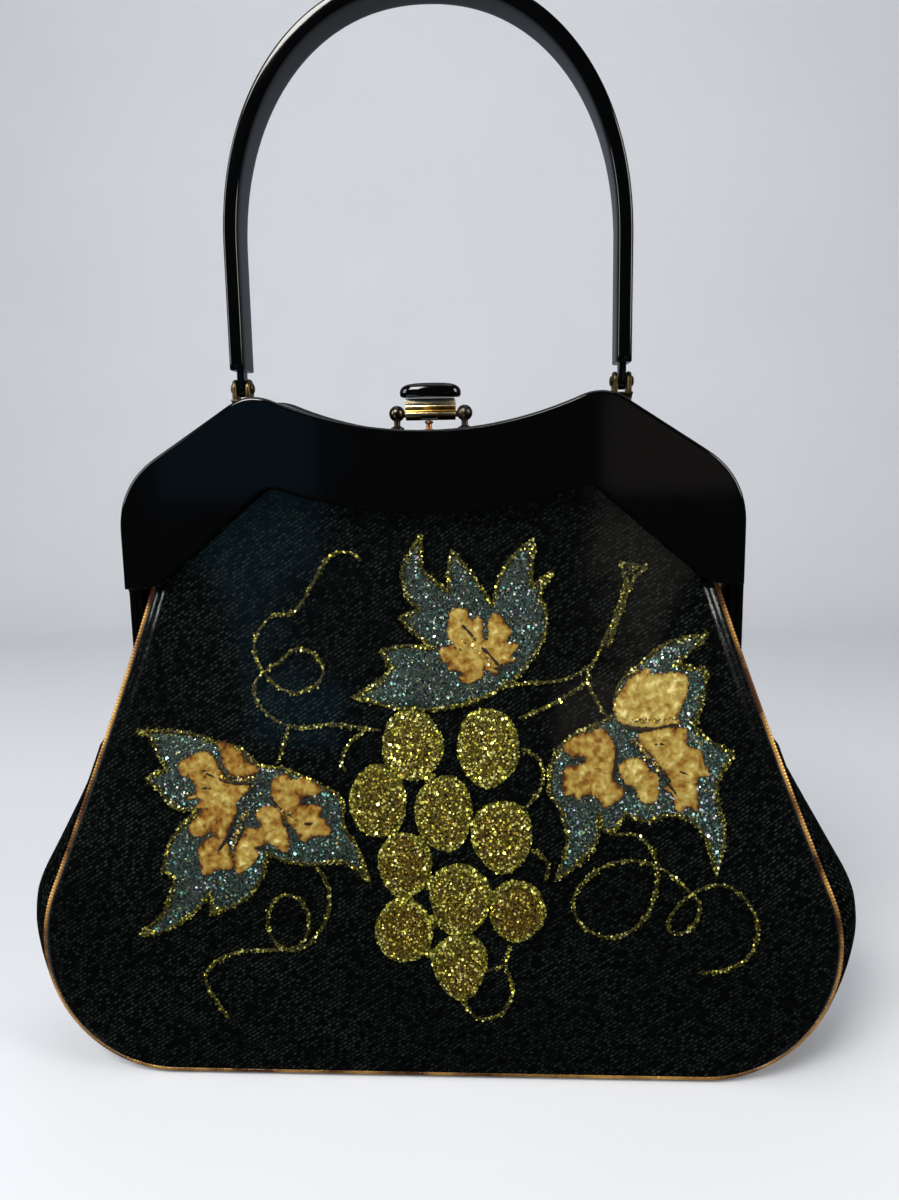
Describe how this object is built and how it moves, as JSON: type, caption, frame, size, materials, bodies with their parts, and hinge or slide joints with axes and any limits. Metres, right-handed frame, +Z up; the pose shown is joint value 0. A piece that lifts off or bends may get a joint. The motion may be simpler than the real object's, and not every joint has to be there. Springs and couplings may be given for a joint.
{
  "type": "frame handbag",
  "caption": "Top-handle frame handbag: bellied twill panels under clear vinyl with a glitter grapevine, gold piping, black acrylic frame, lift clasp and arched swing handle.",
  "frame": {"origin": "on the surface that the bag stands on, below the middle of the body", "axes": "+Z up, +X to the bag's right as seen from the front, front towards -Y"},
  "size_m": [0.3158, 0.077, 0.3987],
  "materials": {
    "twill": "black twill with a green cast, seen through clear vinyl",
    "clear_vinyl": "clear glossy vinyl sheet, slightly rippled",
    "gold_piping": "ridged copper-gold piping cord",
    "acrylic": "polished black acrylic",
    "brass": "dull aged brass",
    "bronze": "dark grey bronze, soft polish",
    "gilt": "warm gold plate with a pale band",
    "leaf_glitter": "turquoise-grey iridescent glitter edged with gold glitter",
    "velvet": "tan velvet with dark veins",
    "gold_glitter": "dense gold glitter"
  },
  "bodies": {
    "bag": {"front_panel": "twill", "back_panel": "twill", "gusset": "twill", "front_vinyl": "clear_vinyl", "back_vinyl": "clear_vinyl", "front_piping": "gold_piping", "back_piping": "gold_piping", "front_frame": "acrylic", "back_frame": "acrylic", "hinge_pin_left": "brass", "hinge_pin_right": "brass", "handle_bracket_left": "brass", "handle_bracket_right": "brass", "handle_pin_left": "brass", "handle_pin_right": "brass", "clasp_base": "bronze", "clasp_stud": "bronze", "leaf_top": "leaf_glitter", "leaf_left": "leaf_glitter", "leaf_right": "leaf_glitter", "velvet_top": "velvet", "velvet_left_main": "velvet", "velvet_left_lower": "velvet", "velvet_left_middle": "velvet", "velvet_left_end": "velvet", "velvet_left_upper": "velvet", "velvet_right_top": "velvet", "velvet_right_near": "velvet", "velvet_right_middle": "velvet", "velvet_right_far": "velvet", "grape_1": "gold_glitter", "grape_2": "gold_glitter", "grape_3": "gold_glitter", "grape_4": "gold_glitter", "grape_5": "gold_glitter", "grape_6": "gold_glitter", "grape_7": "gold_glitter", "grape_8": "gold_glitter", "grape_9": "gold_glitter", "grape_10": "gold_glitter", "stem": "gold_glitter", "tendril_upper_left": "gold_glitter", "tendril_lower_left": "gold_glitter", "tendril_lower_right": "gold_glitter", "tendril_grape_loop": "gold_glitter", "tendril_grape_upper": "gold_glitter", "tendril_grape_lower": "gold_glitter"},
    "handle": {"handle_strap": "acrylic"},
    "clasp": {"clasp_lever": "gilt", "clasp_cap": "acrylic"}
  },
  "joints": [
    {"name": "handle_swing", "type": "hinge", "parent": "bag", "child": "handle", "pos_m": [0, 0.005, 0.2584], "axis": [1, 0, 0], "range_deg": [-80, 80]},
    {"name": "clasp_lift", "type": "hinge", "parent": "bag", "child": "clasp", "pos_m": [0, 0.005, 0.2476], "axis": [-1, 0, 0], "range_deg": [0, 60]}
  ]
}
